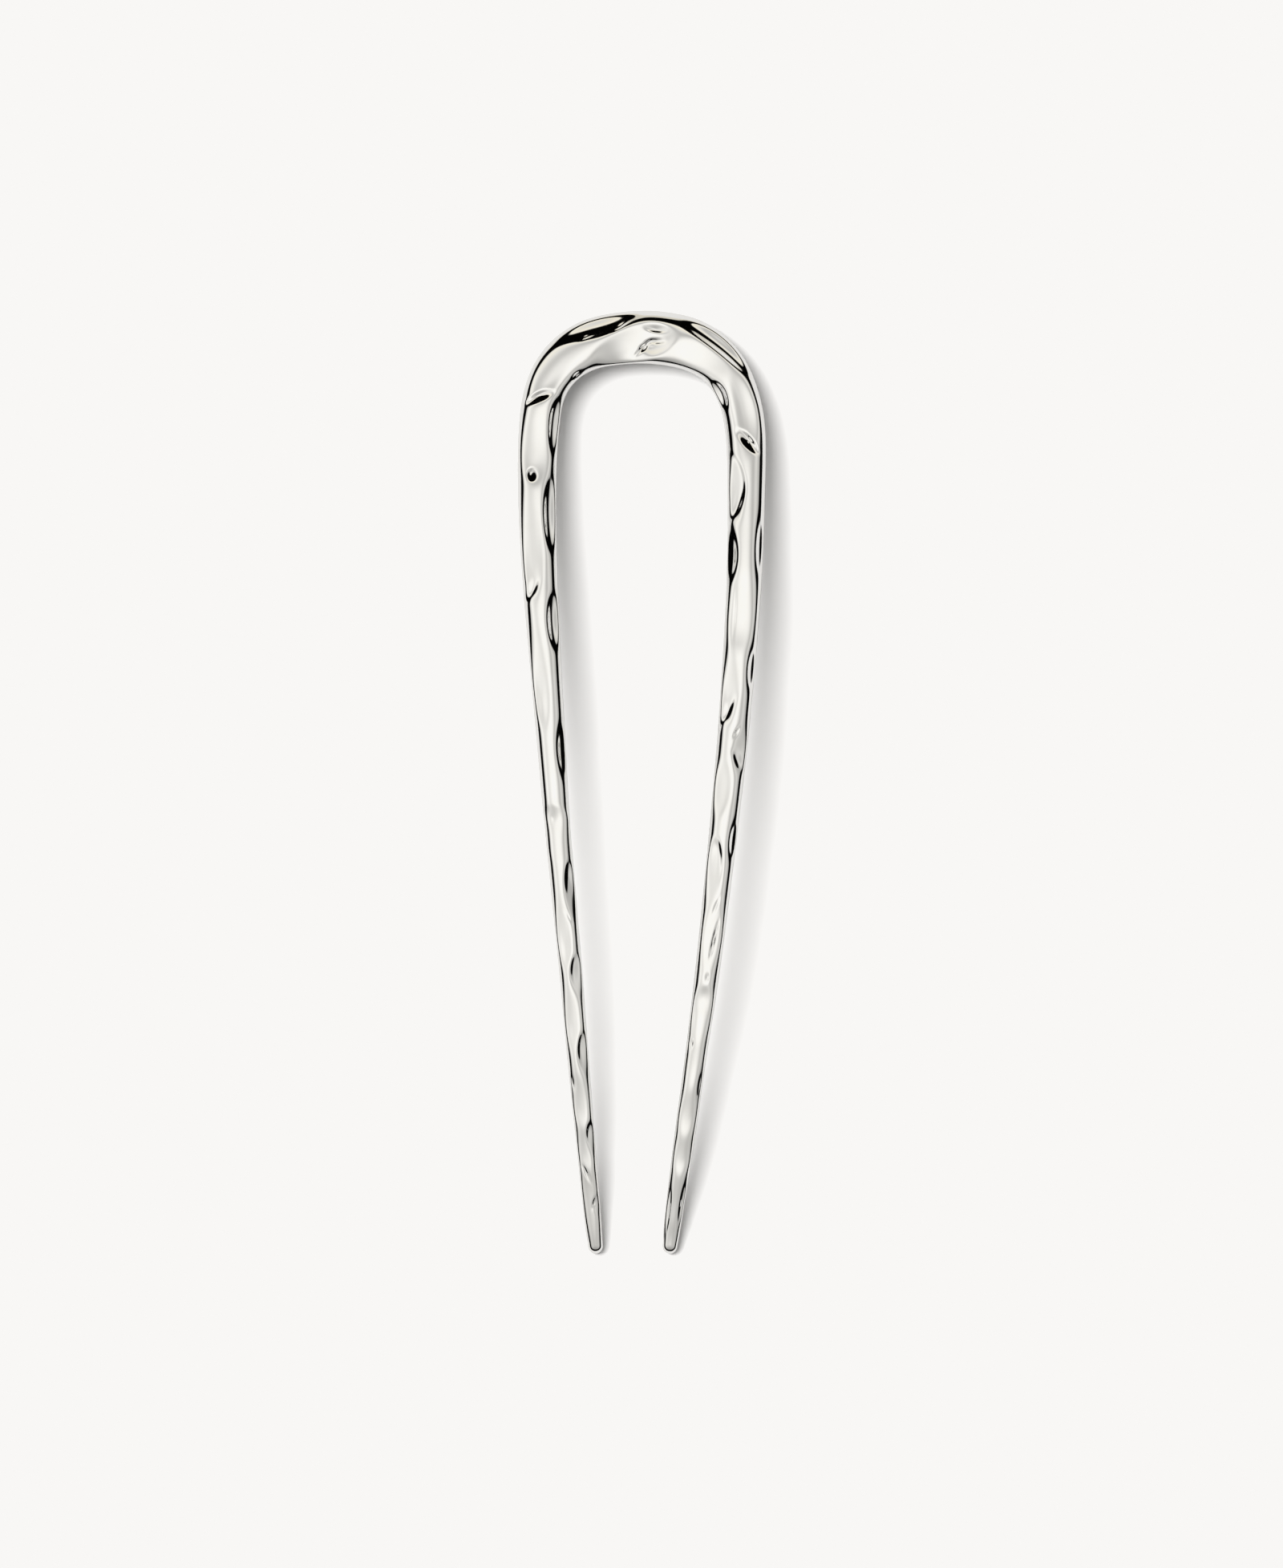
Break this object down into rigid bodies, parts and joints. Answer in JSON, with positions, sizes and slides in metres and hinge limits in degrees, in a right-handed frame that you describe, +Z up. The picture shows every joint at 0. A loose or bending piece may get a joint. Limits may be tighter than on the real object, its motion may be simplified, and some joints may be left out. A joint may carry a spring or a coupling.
{
  "type": "french hair pin",
  "caption": "Long U-shaped hair pin of polished metal, beaten all over with shallow scoops, bowed, with two prongs that taper to rounded tips.",
  "frame": {"origin": "middle of the pin's box in X and Y, at the surface that it lies on", "axes": "+Y along the pin from the tips towards the crown, +X to the right seen from above, +Z up from the surface, towards the beaten face that shows"},
  "size_m": [0.0342, 0.1298, 0.0094],
  "materials": {
    "polished_metal": "mirror polished white metal over hammer marks"
  },
  "bodies": {
    "root": {"hair_pin": "polished_metal"}
  },
  "joints": []
}
